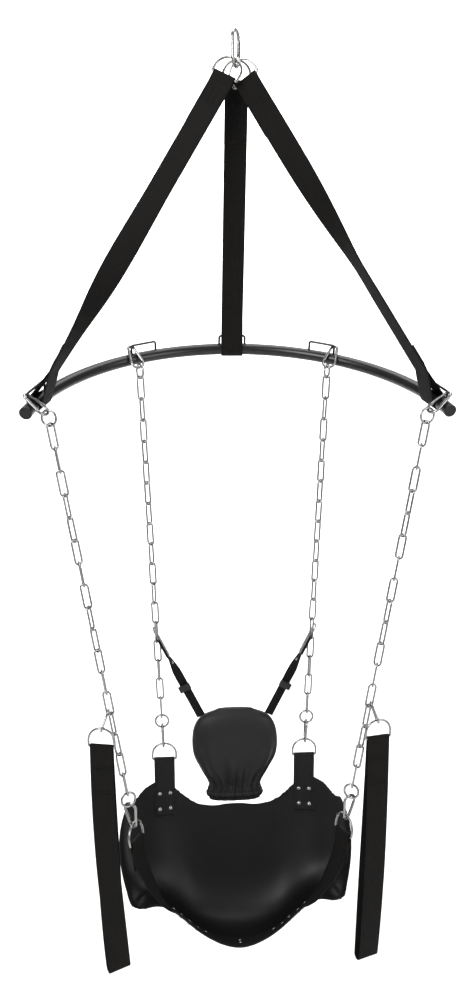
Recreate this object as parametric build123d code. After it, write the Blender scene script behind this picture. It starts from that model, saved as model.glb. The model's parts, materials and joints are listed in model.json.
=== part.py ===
from build123d import *
import os
from math import asin, atan2, cos, degrees, pi, radians, sin, sqrt

# Suspended sling seat: a spring hook carries three webbing straps, the straps carry a curved
# tube, four chains hang from the tube and hold a leather sling with a head cushion, and a
# webbing foot loop hangs from each front chain.
# Millimetres. +Z is up, +X is to the right of someone facing the seat, and -Y is the open front.
# The origin is where the top hook rests on whatever holds it.

# ---- Driving dimensions -------------------------------------------------------------------
GAP = 0.6                   # running gap between hooked pieces
SEWN_GAP = 0.5              # gap between webbing and what it is folded round
HANG_SHIFT = -22.0          # puts the centre of mass under the top hook

TUBE_DIA = 25.0
TUBE_WALL = 1.5
ARC_RADIUS = 410.0          # centre line of the curved tube
ARC_HALF_ANGLE = 79.0
ARC_TILT = 20.0             # the tube's ends hang lower than its middle
TUBE_MIDDLE = Vector(0, 170.0 + HANG_SHIFT, -600.0)
PLUG_LIP = 2.5

LOOP_ROD = 5.0              # welded wire loops on top of the tube
LOOP_HEIGHT = 20.6
LOOP_LENGTH = 62.0
END_LOOP_LENGTH = 72.0
REAR_POST_ANGLE = 32.2      # outer post of each loop, where a spring hook hangs
END_POST_ANGLE = 76.0
END_STRAP_SHIFT = 7.0       # end straps sit off the middle of their loops, clear of the hooks

WEB_WIDTH = 47.0
WEB_THICK = 2.4
STRAP_EYE_HEIGHT = 78.0     # bottom of the tube strap's eye to where its two legs meet
EYE_LEAN = 0.14             # end straps lean in past their loops' rods
FOLD_LENGTH = 110.0         # doubled webbing below each D-ring

D_WIRE = 5.0
D_INSIDE = 50.0
D_HEIGHT = 39.5             # bar to crown, centre line

RING_WIRE = 5.0
RING_OUTSIDE = 35.0

LINK_WIRE = 4.5
LINK_PITCH = 46.4
LINK_WIDTH = 19.0
LINK_COUNT = 17

HOOK_WIRE = 6.0             # spring hooks at both ends of every chain
HOOK_LENGTH = 60.0
HOOK_WIDE = 32.0
HOOK_NARROW = 19.0
TOP_WIRE = 7.0
TOP_LENGTH = 72.0
TOP_WIDE = 41.0
TOP_NARROW = 36.0
TOP_TURN = 65.0             # the top hook is turned away from the front
LEG_WIRE = 5.0
LEG_HOOK_LENGTH = 50.0
LEG_WIDE = 26.0
LEG_NARROW = 17.0
GATE_OPEN = 22.0

REAR_RING_X = 165.0         # half spacing of the rear and front D-rings of the seat
FRONT_RING_X = 219.0
PANEL_THICK = 2.5
TAB_WIDTH = 48.0
TAB_LENGTH = 136.0
RIVET_DIA = 10.0

LEG_LOOP_DROP = 518.0
LEG_LOOP_OPEN = 22.0
LEG_TURN = 12.0             # leg loops face a little inward
LEG_HOOK_LINK = 13

HEAD_WEB = 20.0
HEAD_LINK = 13
SNAP_RING_OUTSIDE = 27.0
SNAP_RING_WIRE = 3.5
STRAP_OFF_RING = 2.5        # head straps sit forward of their rings' feet, clear of the chain

PARTS = "parts"
os.makedirs(PARTS, exist_ok=True)


def save(name, *shapes):
    """Write one node; several solids in it are pieces of the same kind."""
    solids = [s for shape in shapes for s in shape.solids()]
    export_step(solids[0] if len(solids) == 1 else Compound(children=solids), f"{PARTS}/{name}.step")


def mirrored(shape):
    return shape.mirror(Plane.YZ)


def unit(v):
    return v * (1.0 / v.length)


def frame_at(origin, x_dir, z_dir):
    """A plane whose drawing is local x across and local z up."""
    z = unit(z_dir)
    x = unit(x_dir - z * x_dir.dot(z))
    return Plane(origin=origin, x_dir=x, z_dir=z)


def heading(degrees_from_x):
    return Vector(cos(radians(degrees_from_x)), sin(radians(degrees_from_x)), 0)


# ---- Wire goods, drawn in local x-z -------------------------------------------------------
def rod(path, diameter):
    start = Plane(origin=path @ 0, z_dir=path % 0)
    return sweep(start * Circle(diameter / 2), path=path)


def arc(center_x, center_z, radius, start, end):
    """An arc about a point, from one angle to another, through its middle."""
    def at(angle):
        return (center_x + radius * cos(radians(angle)), 0, center_z + radius * sin(radians(angle)))
    return ThreePointArc(at(start), at((start + end) / 2), at(end))


def ring(outside, wire):
    return Rot(90, 0, 0) * Torus((outside - wire) / 2, wire / 2)


def chain_link():
    r = (LINK_WIDTH - LINK_WIRE) / 2
    half = (LINK_PITCH + LINK_WIRE) / 2 - r
    path = Wire([
        Line((r, 0, -half), (r, 0, half)),
        arc(0, half, r, 0, 180),
        Line((-r, 0, half), (-r, 0, -half)),
        arc(0, -half, r, 180, 360),
    ])
    return rod(path, LINK_WIRE)


def d_ring():
    """Flat bar on local x through the origin, crown above it."""
    r = (D_INSIDE + D_WIRE) / 2
    corner = 3.2
    side = D_HEIGHT - r
    path = Wire([
        Line((-r + corner, 0, 0), (r - corner, 0, 0)),
        arc(r - corner, corner, corner, -90, 0),
        Line((r, 0, corner), (r, 0, side)),
        arc(0, side, r, 0, 180),
        Line((-r, 0, side), (-r, 0, corner)),
        arc(-r + corner, corner, corner, 180, 270),
    ])
    return rod(path, D_WIRE)


class SpringHook:
    """A pear-shaped hook, narrow end at the local origin and wide end above, gate on +x."""

    TONGUE = 2.2
    PIN = 2.0

    def __init__(self, wire, length, wide, narrow):
        self.wire = wire
        self.span = length - wire
        self.r1 = (narrow - wire) / 2
        self.r2 = (wide - wire) / 2
        centres = self.span - self.r1 - self.r2
        self.lean = asin((self.r2 - self.r1) / centres)
        self.side = centres * cos(self.lean)
        out = (cos(self.lean), -sin(self.lean))
        self.foot = Vector(self.r1 * out[0], 0, self.r1 + self.r1 * out[1])
        self.head = Vector(self.r2 * out[0], 0, self.span - self.r2 + self.r2 * out[1])
        self.along = unit(self.head - self.foot)
        self.gate_dia = wire + 0.4
        self.stub = 2.0
        self.pivot = self.foot + self.along * (self.stub + self.gate_dia * 0.75)
        self.nose = self.head - self.along * 3.0

    def on_gate(self):
        return Plane(origin=self.pivot, x_dir=(0, 1, 0), z_dir=self.along)

    def frame(self):
        a = degrees(self.lean)
        stub = self.foot + self.along * self.stub
        far_foot = Vector(-self.foot.X, 0, self.foot.Z)
        far_head = Vector(-self.head.X, 0, self.head.Z)
        path = Wire([
            Line(stub, self.foot),
            arc(0, self.r1, self.r1, -a, -180 + a),
            Line(far_foot, far_head),
            arc(0, self.span - self.r2, self.r2, 180 + a, -a),
            Line(self.head, self.nose),
        ])
        body = rod(path, self.wire)
        reach = (self.pivot - stub).length
        tongue = self.on_gate() * (
            Pos(0, 0, -reach / 2 - 0.4) * Box(self.TONGUE, 0.8 * self.wire, reach + 0.8)
            + Rot(0, 90, 0) * Cylinder(0.4 * self.wire, self.TONGUE)
            + Rot(0, 90, 0) * Cylinder(self.PIN / 2, self.gate_dia - 0.4)
        )
        return body + tongue

    def gate(self):
        tip = (self.nose - self.pivot).length - 0.4
        tail = self.gate_dia * 0.5
        bar = Pos(0, 0, (tip - tail) / 2) * Cylinder(self.gate_dia / 2, tip + tail)
        slot = Box(self.TONGUE + 0.4, 2 * self.wire, self.wire + 1.2)
        hole = Rot(0, 90, 0) * Cylinder(self.PIN / 2 + 0.08, 2 * self.wire)
        return self.on_gate() * (bar - slot - hole)


CHAIN_HOOK = SpringHook(HOOK_WIRE, HOOK_LENGTH, HOOK_WIDE, HOOK_NARROW)
TOP_HOOK = SpringHook(TOP_WIRE, TOP_LENGTH, TOP_WIDE, TOP_NARROW)
LEG_HOOK = SpringHook(LEG_WIRE, LEG_HOOK_LENGTH, LEG_WIDE, LEG_NARROW)


def touch(wire_a, wire_b):
    """Distance between the centre lines of two hooked wires."""
    return (wire_a + wire_b) / 2 + GAP


# ---- The curved tube ----------------------------------------------------------------------
FORWARD = Vector(0, -cos(radians(ARC_TILT)), -sin(radians(ARC_TILT)))
TUBE_UP = Vector(0, -sin(radians(ARC_TILT)), cos(radians(ARC_TILT)))
ACROSS = Vector(1, 0, 0)


def on_arc(angle):
    a = radians(angle)
    return TUBE_MIDDLE + ACROSS * (ARC_RADIUS * sin(a)) + FORWARD * (ARC_RADIUS * (1 - cos(a)))


def inward(angle):
    a = radians(angle)
    return FORWARD * cos(a) - ACROSS * sin(a)


def tangent(angle):
    a = radians(angle)
    return ACROSS * cos(a) + FORWARD * sin(a)


def arc_degrees(length):
    return degrees(length / ARC_RADIUS)


def bent_tube(outer, inner, half_angle):
    path = ThreePointArc(on_arc(-half_angle), on_arc(0), on_arc(half_angle))
    start = Plane(origin=path @ 0, z_dir=path % 0)
    solid = sweep(start * Circle(outer / 2), path=path)
    if inner:
        solid -= sweep(start * Circle(inner / 2), path=path)
    return solid


def wire_loop(angle, length):
    """A staple of rod that stands on the tube, its feet coped to the tube."""
    top = TUBE_DIA / 2 + LOOP_HEIGHT - LOOP_ROD / 2
    half = (length - LOOP_ROD) / 2
    bend = 5.0
    path = Wire([
        Line((-half, 0, 4), (-half, 0, top - bend)),
        arc(-half + bend, top - bend, bend, 180, 90),
        Line((-half + bend, 0, top), (half - bend, 0, top)),
        arc(half - bend, top - bend, bend, 90, 0),
        Line((half, 0, top - bend), (half, 0, 4)),
    ])
    return frame_at(on_arc(angle), tangent(angle), TUBE_UP) * rod(path, LOOP_ROD)


tube_core = bent_tube(TUBE_DIA, 0, ARC_HALF_ANGLE)
save("spreader_tube", bent_tube(TUBE_DIA, TUBE_DIA - 2 * TUBE_WALL, ARC_HALF_ANGLE))
save("centre_wire_loop", wire_loop(0, LOOP_LENGTH) - tube_core)
REAR_LOOP_ANGLE = REAR_POST_ANGLE - arc_degrees((LOOP_LENGTH - LOOP_ROD) / 2)
END_LOOP_ANGLE = END_POST_ANGLE - arc_degrees((END_LOOP_LENGTH - LOOP_ROD) / 2)
rear_loop = wire_loop(REAR_LOOP_ANGLE, LOOP_LENGTH) - tube_core
end_loop = wire_loop(END_LOOP_ANGLE, END_LOOP_LENGTH) - tube_core
save("rear_wire_loops", rear_loop, mirrored(rear_loop))
save("end_wire_loops", end_loop, mirrored(end_loop))

plug_frame = frame_at(on_arc(ARC_HALF_ANGLE), TUBE_UP, tangent(ARC_HALF_ANGLE))
plug = Pos(0, 0, PLUG_LIP / 2) * fillet(Cylinder(TUBE_DIA / 2, PLUG_LIP).edges().group_by(Axis.Z)[-1], 1.2)
plug += Pos(0, 0, -6) * Cylinder(TUBE_DIA / 2 - TUBE_WALL - GAP, 12)
plug = plug_frame * plug
save("tube_end_plugs", plug, mirrored(plug))

# ---- Top hook and the three D-rings under it ----------------------------------------------
top_frame = frame_at(Vector(0, 0, TOP_WIRE / 2 - TOP_LENGTH + TOP_WIRE), heading(TOP_TURN), Vector(0, 0, 1))
save("top_hook_frame", top_frame * TOP_HOOK.frame())
save("top_hook_gate", top_frame * TOP_HOOK.gate())

HOOK_LINE = heading(TOP_TURN)
SWING_PIVOT = top_frame.origin + Vector(0, 0, touch(TOP_WIRE, D_WIRE))


def crown_at(offset, lift):
    """Where a D-ring's crown sits, measured along the foot of the top hook."""
    return SWING_PIVOT + HOOK_LINE * offset + Vector(0, 0, lift)


def ribbon(stations):
    """A flat band through (point, width direction, thickness), ruled from one to the next."""
    faces = []
    for i, (point, width_dir, thick, width) in enumerate(stations):
        ahead = stations[min(i + 1, len(stations) - 1)][0] - stations[max(i - 1, 0)][0]
        faces.append(frame_at(point, width_dir, ahead) * Rectangle(width, thick))
    return loft(faces, ruled=True)


def mix(a, b, share):
    return a * (1 - share) + b * share


def hanger(name, crown, facing, angle, turn_start, turn_end):
    """One D-ring, its webbing strap and the eye that the strap makes round the tube."""
    foot = on_arc(angle)
    along_tube = tangent(angle)
    down = unit(foot - crown)
    across_ring = unit(facing - down * facing.dot(down))
    bar = crown + down * D_HEIGHT
    save(f"hanger_ring_{name}", frame_at(bar, across_ring, -down) * d_ring())

    fold_radius = D_WIRE / 2 + SEWN_GAP
    neck = make_hull([*Circle(fold_radius + WEB_THICK).edges(), *(Pos(22, 0) * Circle(WEB_THICK - 0.4)).edges()])
    fold = extrude(frame_at(bar, down, across_ring) * neck, WEB_WIDTH / 2 - 0.3, both=True)
    rise = unit(along_tube * down.dot(along_tube) - down)
    if angle:
        rise = unit(rise + inward(angle) * EYE_LEAN)
    eye = frame_at(foot, rise, along_tube)
    clear = TUBE_DIA / 2 + 0.8
    outer = make_hull([*Circle(clear + WEB_THICK).edges(), *(Pos(STRAP_EYE_HEIGHT, 0) * Circle(WEB_THICK)).edges()])
    inner = make_hull([*Circle(clear).edges(), *(Pos(STRAP_EYE_HEIGHT - 9, 0) * Circle(0.6)).edges()])
    band = extrude(eye * outer, WEB_WIDTH / 2 - 0.2, both=True)
    hollow = extrude(eye * inner, WEB_WIDTH, both=True)

    start = bar + down * 13
    end = foot + rise * (STRAP_EYE_HEIGHT - 6)
    run = (end - start).length
    stations = []
    for share in (0, FOLD_LENGTH / run, 0.34, 0.48, 0.6, 0.72, 0.84, 1):
        turned = min(max((share - turn_start) / (turn_end - turn_start), 0), 1)
        thick = 1.9 * WEB_THICK if share <= FOLD_LENGTH / run or share == 1 else 1.2 * WEB_THICK
        stations.append((mix(start, end, share), mix(across_ring, along_tube, turned), thick, WEB_WIDTH))
    strap = ribbon(stations) + fold + (band - hollow)
    strap -= frame_at(bar, down, across_ring) * Cylinder(fold_radius, 2 * WEB_WIDTH)
    save(f"hanger_strap_{name}", strap)


END_STRAP_ANGLE = END_LOOP_ANGLE - arc_degrees(END_STRAP_SHIFT)
hanger("centre", crown_at(6.6, 6.8), Vector(0.97, -0.24, 0), 0, 0, 1)
hanger("right", crown_at(0, 2.0), Vector(0.8, -0.3, 0.5), END_STRAP_ANGLE, 0.14, 0.6)
hanger("left", crown_at(-6.6, 6.6), Vector(0.8, -0.3, -0.5), -END_STRAP_ANGLE, 0.4, 0.95)

# ---- Chains ------------------------------------------------------------------------------
RING_SPAN = RING_OUTSIDE - RING_WIRE
LINK_SPAN = LINK_PITCH + LINK_WIRE
HOOK_RISE = 27.0            # height above the tube's centre line where a hook grips its post
HOOK_OVER = (0.793, -0.609)  # a hook lies over the tube: inward and down, across the arc


class ChainLine:
    """Everything that hangs from one right-hand wire loop down to one seat D-ring."""

    def __init__(self, name, loop_angle, loop_length, seat_x, turns, last_gap):
        self.name = name
        self.turns = turns
        lean = unit(inward(loop_angle) * HOOK_OVER[0] + TUBE_UP * HOOK_OVER[1])
        post = on_arc(loop_angle) + tangent(loop_angle) * ((loop_length - LOOP_ROD) / 2)
        grip = post - inward(loop_angle) * touch(LOOP_ROD, HOOK_WIRE) + TUBE_UP * HOOK_RISE
        self.upper_hook = frame_at(grip, tangent(loop_angle), lean)
        self.top = grip + lean * CHAIN_HOOK.span + Vector(0, 0, touch(HOOK_WIRE, RING_WIRE) + 0.6)
        self.first = RING_SPAN - touch(RING_WIRE, LINK_WIRE)
        self.step = LINK_SPAN - touch(LINK_WIRE, LINK_WIRE)
        last = self.first + (LINK_COUNT - 1) * self.step + LINK_SPAN
        self.low_ring = last - touch(LINK_WIRE, RING_WIRE) + RING_SPAN / 2
        self.low_hook = self.low_ring + RING_SPAN / 2 - touch(RING_WIRE, HOOK_WIRE)
        self.crown = self.low_hook + CHAIN_HOOK.span - touch(HOOK_WIRE, D_WIRE) - last_gap
        self.length = self.crown + D_HEIGHT
        run_x = seat_x - self.top.X
        self.down = unit(Vector(run_x, 0, -sqrt(self.length ** 2 - run_x ** 2)))

    def at(self, distance):
        return self.top + self.down * distance

    def placed(self, distance, heading_deg):
        return frame_at(self.at(distance), heading(heading_deg), -self.down)

    def lower_hook(self):
        return self.placed(self.low_hook + CHAIN_HOOK.span, self.turns["hook"])

    def rings(self):
        hoop = ring(RING_OUTSIDE, RING_WIRE)
        upper = self.placed(RING_SPAN / 2, self.turns["upper_ring"]) * hoop
        return upper, self.placed(self.low_ring, self.turns["lower_ring"]) * hoop

    def link_centre(self, number):
        return self.first + (number - 1) * self.step + LINK_SPAN / 2

    def link_turn(self, number):
        return self.turns["last_link"] + (LINK_COUNT - number) * self.turns["step"]

    def links(self):
        one = chain_link()
        for number in range(1, LINK_COUNT + 1):
            yield self.placed(self.link_centre(number), self.link_turn(number)) * one

    def seat_ring_frame(self):
        """The D-ring hangs in line with the chain, its bar level."""
        level = heading(self.turns["d_ring"])
        return Plane(origin=self.at(self.length), x_dir=level, z_dir=unit(level * self.down.dot(level) - self.down))


REAR_TURNS = {"upper_ring": 60, "step": 93.75, "last_link": 90, "lower_ring": 0, "hook": 90, "d_ring": 0}
FRONT_TURNS = {"upper_ring": 20, "step": 72, "last_link": 72, "lower_ring": -25, "hook": 27, "d_ring": 117}
REAR = ChainLine("rear", REAR_LOOP_ANGLE, LOOP_LENGTH, REAR_RING_X, REAR_TURNS, 0)
FRONT = ChainLine("front", END_LOOP_ANGLE, END_LOOP_LENGTH, FRONT_RING_X, FRONT_TURNS, 0.5)

for line in (REAR, FRONT):
    upper_frame = line.upper_hook * CHAIN_HOOK.frame()
    upper_gate = line.upper_hook * CHAIN_HOOK.gate()
    lower_frame = line.lower_hook() * CHAIN_HOOK.frame()
    lower_gate = line.lower_hook() * CHAIN_HOOK.gate()
    upper_ring, lower_ring = line.rings()
    links = list(line.links())
    seat_ring = line.seat_ring_frame() * d_ring()
    save(f"{line.name}_upper_hooks", upper_frame, mirrored(upper_frame))
    save(f"{line.name}_lower_hooks", lower_frame, mirrored(lower_frame))
    save(f"{line.name}_chain_rings", upper_ring, mirrored(upper_ring), lower_ring, mirrored(lower_ring))
    save(f"{line.name}_seat_rings", seat_ring, mirrored(seat_ring))
    save(f"{line.name}_chain_right", *links)
    save(f"{line.name}_chain_left", *[mirrored(link) for link in links])
    for place, gate in (("upper", upper_gate), ("lower", lower_gate)):
        save(f"{line.name}_{place}_gate_right", gate)
        save(f"{line.name}_{place}_gate_left", mirrored(gate))

# ---- Sling panel -------------------------------------------------------------------------
rear_bar = REAR.at(REAR.length)
front_bar = FRONT.at(FRONT.length)

# Ribs run from the rear edge to the front edge: distance in front of the rear D-ring bar, and
# drop below it. The outermost rib is the side edge with its free corner.
RIBS = [
    (0, [(0, -6, 124), (0, 8, 191), (0, 34, 272), (0, 84, 349), (0, 150, 358), (0, 217, 334)]),
    (1, [(75, -5, 124), (78, 10, 194), (80, 38, 274), (80, 88, 341), (76, 150, 341), (70, 214, 308)]),
    (2, [(160, 0, 58), (160, 12, 136), (158, 42, 226), (155, 87, 291), (150, 147, 284), (145, 200, 250)]),
    (3, [(215, 4, 74), (222, 22, 146), (222, 50, 214), (216, 84, 258), (206, 130, 268), (195, 174, 258)]),
    (4, [(252, 12, 106), (268, 37, 146), (270, 67, 191), (262, 97, 231), (250, 127, 258), (236, 154, 268)]),
]


def rib_point(rib, row):
    x, forward, drop = RIBS[rib][1][row]
    return Vector(x, rear_bar.Y - forward, rear_bar.Z - drop)


def mirror_point(p):
    return Vector(-p.X, p.Y, p.Z)


grid = []
for rib in (4, 3, 2, 1):
    grid.append([mirror_point(rib_point(rib, row)) for row in range(6)])
for rib in (0, 1, 2, 3, 4):
    grid.append([rib_point(rib, row) for row in range(6)])
panel = thicken(Face.make_surface_from_array_of_points(grid), PANEL_THICK / 2, both=True)


def rivet(at, face_dir, grip):
    """Dome heads on both sides of a stack, joined by a shank along face_dir."""
    head = Sphere(RIVET_DIA * 0.62) & Pos(0, 0, 5 + RIVET_DIA * 0.37) * Box(20, 20, 10)
    head = Pos(0, 0, grip / 2 - RIVET_DIA * 0.37) * head
    body = Cylinder(RIVET_DIA * 0.2, grip) + head + head.mirror(Plane.XY)
    return Plane(origin=at, z_dir=face_dir) * body


def rivet_hole(at, face_dir, depth):
    return Plane(origin=at, z_dir=face_dir) * Cylinder(RIVET_DIA * 0.2 + 0.15, depth)


# Rear tabs: leather folded over the bar of each rear D-ring, one leaf on each side of the panel's
# raised corner.
LEAF = 2.0
LEAF_GAP = 1.2
fold_radius = D_WIRE / 2 + SEWN_GAP


def panel_faces(x, drop):
    """Front and rear Y of the panel where a level line crosses its back wall."""
    line = Axis((x, rear_bar.Y + 200, rear_bar.Z - drop), (0, -1, 0))
    hits = [p.Y for p, normal in panel.find_intersection_points(line) if p.Y > rear_bar.Y - 40]
    return min(hits), max(hits)


fold = make_hull([*Circle(fold_radius + LEAF).edges(), *(Pos(24, 0) * Circle(1.8)).edges()])
tab = extrude(frame_at(rear_bar, Vector(0, 0, -1), ACROSS) * fold, TAB_WIDTH / 2 - 0.3, both=True)
front_leaf = [(rear_bar + Vector(0, -LEAF / 2, -14), ACROSS, LEAF, TAB_WIDTH)]
rear_leaf = [(rear_bar + Vector(0, LEAF / 2, -14), ACROSS, LEAF, TAB_WIDTH)]
clear = LEAF_GAP + LEAF / 2
for leaf, side in ((front_leaf, -1), (rear_leaf, 1)):
    leaf.append((rear_bar + Vector(0, side * (PANEL_THICK / 2 + clear + 0.8), -50), ACROSS, LEAF, TAB_WIDTH))
for share in (0.0, 0.25, 0.5, 0.75, 1.0):
    drop = 78 + share * (TAB_LENGTH - 78)
    (f1, r1), (f2, r2) = panel_faces(REAR_RING_X - 12, drop), panel_faces(REAR_RING_X + 18, drop)
    slope = unit(Vector(30, f2 - f1, 0))
    middle = Vector(REAR_RING_X, f1 + (f2 - f1) * 0.4, rear_bar.Z - drop)
    front_leaf.append((middle + Vector(0, -clear, 0), slope, LEAF, TAB_WIDTH))
    rear_leaf.append((middle + Vector(0, r1 - f1 + clear, 0), slope, LEAF, TAB_WIDTH))
tab = tab + ribbon(front_leaf) + ribbon(rear_leaf)
tab -= frame_at(rear_bar, Vector(0, 0, -1), ACROSS) * Cylinder(fold_radius, 2 * TAB_WIDTH)
rear_rivets = []
holes = []
for x in (REAR_RING_X - 12, REAR_RING_X + 12):
    for drop in (TAB_LENGTH - 50, TAB_LENGTH - 14):
        front_y, rear_y = panel_faces(x, drop)
        lower_y = panel_faces(x, drop + 6)[0]
        side_y = panel_faces(x + 6, drop)[0]
        face_dir = Vector(6, side_y - front_y, 0).cross(Vector(0, lower_y - front_y, -6))
        place = Vector(x, (front_y + rear_y) / 2, rear_bar.Z - drop)
        rear_rivets.append(rivet(place, face_dir, PANEL_THICK + 2 * (LEAF_GAP + LEAF) + 1.4))
        holes.append(rivet_hole(place, face_dir, 30))
for hole in holes:
    tab -= hole


def under_panel(x, y):
    """Height of the panel's underside at a place."""
    line = Axis((x, y, rear_bar.Z - 500), (0, 0, 1))
    return min(point.Z for point, normal in panel.find_intersection_points(line))


# Front strap: webbing from one front D-ring, under the tongue of the panel, to the other.
# It comes down in front of the panel's corner, then runs back under the tongue. Each place in the
# second list is the distance from the middle and from the rear D-ring bar.
FREE_RUN = [(-24, 1, -78, 0.25), (-47, -6, -149, 0.55), (-71, -10, -231, 0.9)]
FRONT_RUN = [(124, 186), (102, 187), (78, 189), (44, 190), (0, 191)]
STRAP_WIDTH = 45.0
STRAP_CLEAR = 6.6           # below the panel's underside, which curves under the strap
level = heading(FRONT_TURNS["d_ring"])
fold_frame = frame_at(front_bar, Vector(-0.25, 0, -0.97), level)
front_stations = [(front_bar + Vector(-3, 0, -12), level, 1.9 * WEB_THICK, STRAP_WIDTH)]
for dx, dy, dz, turn in FREE_RUN:
    width_dir = mix(level, Vector(0, 1, -0.3), turn)
    front_stations.append((front_bar + Vector(dx, dy, dz), width_dir, WEB_THICK, STRAP_WIDTH))
for x, forward in FRONT_RUN:
    ends = [rear_bar.Y - forward + back for back in (4, 30)]
    near, far = [Vector(x, y, under_panel(x, y)) for y in ends]
    width_dir = unit(far - near)
    middle = near - width_dir * 4 - Vector(0, 0, WEB_THICK / 2 + STRAP_CLEAR)
    front_stations.append((middle, width_dir, WEB_THICK, STRAP_WIDTH))
neck = make_hull([*Circle(fold_radius + WEB_THICK).edges(), *(Pos(24, 0) * Circle(WEB_THICK - 0.4)).edges()])
half = ribbon(front_stations) + extrude(fold_frame * neck, STRAP_WIDTH / 2 - 0.3, both=True)
half -= fold_frame * Cylinder(fold_radius, 90)
front_strap = half + mirrored(half)
for hole in holes:
    panel = panel - hole - mirrored(hole)

save("sling_panel", panel)
save("rear_tabs", tab, mirrored(tab))
save("tab_rivets", *rear_rivets, *[mirrored(r) for r in rear_rivets])
save("front_strap", front_strap)

# ---- Head cushion and its two straps -------------------------------------------------------
CUSHION = [(-120, 44, 8), (-104, 78, 20), (-78, 95, 28), (-44, 100, 31), (-8, 95, 31), (30, 76, 27),
           (66, 58, 20), (90, 66, 20), (106, 60, 13)]
cushion_y = rear_bar.Y + 1
rounds = [Plane(origin=(0, cushion_y, rear_bar.Z - drop)) * Ellipse(hx, hy) for drop, hx, hy in CUSHION]
save("head_cushion", loft(rounds))

link_spot = REAR.at(REAR.link_centre(HEAD_LINK))
snap_span = (SNAP_RING_OUTSIDE - SNAP_RING_WIRE) / 2
cushion_corner = Vector(78, link_spot.Y - 13.0, rear_bar.Z + 112)
head_run = unit(cushion_corner - link_spot)
snap_centre = link_spot + Vector(2.0, -11.0, 3.0)
snap_ring = frame_at(snap_centre, Vector(0, 1, 0), head_run) * ring(SNAP_RING_OUTSIDE, SNAP_RING_WIRE)
save("head_strap_rings", snap_ring, mirrored(snap_ring))

strap_head = snap_centre + head_run * snap_span - Vector(0, STRAP_OFF_RING, 0)
run_frame = frame_at(strap_head, Vector(0, 1, 0), head_run)
total = (cushion_corner - run_frame.origin).length
eye = Rot(90, 0, 0) * Cylinder(SNAP_RING_WIRE / 2 + 0.6, 60)
tag = Pos(0, 0, 26.0) * Box(HEAD_WEB + 2, 6.4, 52) - Pos(0, 0, 33) * Box(HEAD_WEB + 0.6, 4.2, 52)
tag = tag - Rot(0, 90, 0) * Cylinder(SNAP_RING_WIRE / 2 + 0.6, 60)
tag = run_frame * (tag - Pos(STRAP_OFF_RING, 0, -snap_span) * ring(SNAP_RING_OUTSIDE, SNAP_RING_WIRE + 1.2))
save("head_strap_tags", tag, mirrored(tag))
slide_at = 0.62 * total
tag_end = 54.0
face_on = unit(Vector(0, 1, 0).cross(head_run))


def head_stations(places, thick):
    """Stations down the head strap: distance from the ring and share of the quarter turn."""
    return [
        (run_frame.origin + head_run * far, mix(Vector(0, 1, 0), face_on, turn), thick, HEAD_WEB)
        for far, turn in places
    ]


DOUBLED = [(10, 0), (tag_end, 0), (tag_end + 22, 0.33), (tag_end + 44, 0.67), (tag_end + 64, 1), (slide_at, 1)]
webbing = ribbon(head_stations(DOUBLED, 3.6)) + ribbon(head_stations([(slide_at, 1), (total, 1)], 1.8))
save("head_straps", webbing, mirrored(webbing))
slider_frame = frame_at(run_frame.origin + head_run * slide_at, face_on, head_run)
slider = slider_frame * (Box(HEAD_WEB + 7, 7.5, 15) - Box(HEAD_WEB + 0.8, 4.4, 20))
save("head_strap_sliders", slider, mirrored(slider))

# ---- Leg loops -----------------------------------------------------------------------------
leg_foot = FRONT.at(FRONT.link_centre(LEG_HOOK_LINK) + LINK_SPAN / 2 - 10.8)
leg_foot += unit(ACROSS - FRONT.down * FRONT.down.X) * 2.2 + Vector(0, 1.2, 0)
leg_lean = unit(Vector(0.381, -0.331, -1))
leg_turn = Rot(0, 0, LEG_TURN)
leg_frame = frame_at(leg_foot, Vector(0.065, -1, 0), leg_lean)
leg_hook = leg_frame * LEG_HOOK.frame()
leg_gate = leg_frame * LEG_HOOK.gate()
leg_crown = leg_foot + leg_lean * LEG_HOOK.span + Vector(0, 0, touch(LEG_WIRE, D_WIRE) + 0.9)
leg_bar = leg_crown - Vector(0, 0, D_HEIGHT)
leg_ring = Pos(*leg_bar) * leg_turn * d_ring()


def strap_outline(grow):
    """A long narrow loop of webbing round the bar, drawn in the y-z plane."""
    top = D_WIRE / 2 + SEWN_GAP + grow
    waist = [(top, 0), (7.6 + grow, -140), (LEG_LOOP_OPEN / 2 + grow, -300), (8 + grow, 9 - LEG_LOOP_DROP)]
    far = [(-y, z) for y, z in reversed(waist)]
    foot = ThreePointArc(waist[-1], (0, 1 - LEG_LOOP_DROP - grow), far[0])
    return make_face([Spline(*waist), foot, Spline(*far), ThreePointArc(far[-1], (0, top), waist[0])])


outline = extrude(Plane.YZ * strap_outline(WEB_THICK), (WEB_WIDTH + 1) / 2, both=True)
outline -= extrude(Plane.YZ * strap_outline(0), WEB_WIDTH, both=True)
leg_strap = Pos(*leg_bar) * leg_turn * outline
for side_name, flip in (("right", lambda s: s), ("left", mirrored)):
    save(f"leg_hook_{side_name}", flip(leg_hook))
    save(f"leg_gate_{side_name}", flip(leg_gate))
    save(f"leg_ring_{side_name}", flip(leg_ring))
    save(f"leg_strap_{side_name}", flip(leg_strap))
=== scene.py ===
"""Looks of the suspended sling seat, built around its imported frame.

Shapes are worked out in millimetres and written in metres. +Z is up and -Y is the open front.
Soft pieces (webbing, leather panel, tabs, cushion) are built here. Hooks, chains, rings, tube and
sliders are the frame's own pieces with a finish.
"""

import json
import logging
from dataclasses import dataclass
from enum import Enum
from math import acos, cos, exp, hypot, pi, radians, sin

import bpy
import numpy as np
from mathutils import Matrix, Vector
from mathutils.bvhtree import BVHTree

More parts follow.
